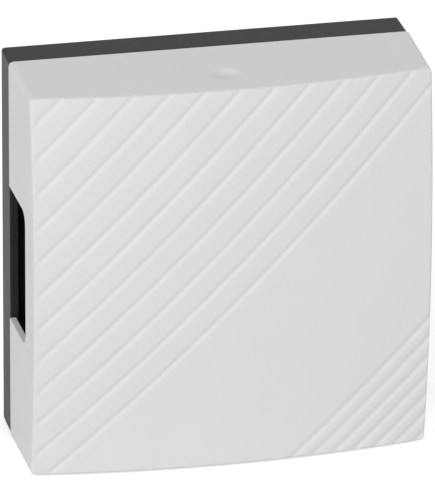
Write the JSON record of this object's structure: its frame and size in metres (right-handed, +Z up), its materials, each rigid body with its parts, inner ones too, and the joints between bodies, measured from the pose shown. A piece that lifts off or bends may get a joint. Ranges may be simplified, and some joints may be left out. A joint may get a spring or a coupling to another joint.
{
  "type": "doorbell chime box",
  "caption": "Square two-tone wall chime: white domed cover with diagonal grooves and side sound notches over a dark base, striker mechanism inside.",
  "frame": {"origin": "middle of the flat back face, on the wall", "axes": "+Y into the wall, -Y out of the front, +X to the right seen from the front, +Z up"},
  "size_m": [0.12, 0.0505, 0.12],
  "materials": {
    "cover_plastic": "fine spark-eroded texture, white",
    "base_plastic": "dark anthracite moulding",
    "bobbin_nylon": "natural nylon",
    "enamelled_copper": "enamelled copper wire",
    "coil_tape": "polyester tape",
    "tinned_pins": "tinned",
    "yoke_steel": "zinc plated sheet",
    "screw_steel": "zinc plated",
    "core_steel": "turned and plated",
    "striker_nylon": "natural nylon",
    "spring_steel": "spring wire",
    "bar_steel": "dark browned steel",
    "grommet_rubber": "soft rubber",
    "block_plastic": "light grey moulding",
    "clamp_brass": "plain brass",
    "lead_insulation": "red insulated wire"
  },
  "bodies": {
    "base": {"base": "base_plastic", "coil_bobbin": "bobbin_nylon", "coil_winding": "enamelled_copper", "coil_tape": "coil_tape", "bobbin_pins": "tinned_pins", "magnet_yoke": "yoke_steel", "yoke_screws": "screw_steel", "return_spring": "spring_steel", "tone_bar_low": "bar_steel", "tone_bar_high": "bar_steel", "grommets_left": "grommet_rubber", "grommets_right": "grommet_rubber", "retaining_washers": "spring_steel", "terminal_block": "block_plastic", "terminal_clamps": "clamp_brass", "terminal_screws": "screw_steel", "block_screws": "screw_steel", "coil_lead_left": "lead_insulation", "coil_lead_right": "lead_insulation"},
    "plunger": {"plunger_core": "core_steel", "striker_tip_left": "striker_nylon", "striker_tip_right": "striker_nylon"},
    "cover": {"cover": "cover_plastic"}
  },
  "joints": [
    {"name": "plunger_strike", "type": "slide", "parent": "base", "child": "plunger", "axis": [1, 0, 0], "range_m": [-0.0012, 0.0086], "stiffness_N_per_m": 25, "deforming": ["return_spring"]},
    {"name": "cover_pull", "type": "slide", "parent": "base", "child": "cover", "axis": [0, -1, 0], "range_m": [0, 0.06]}
  ]
}
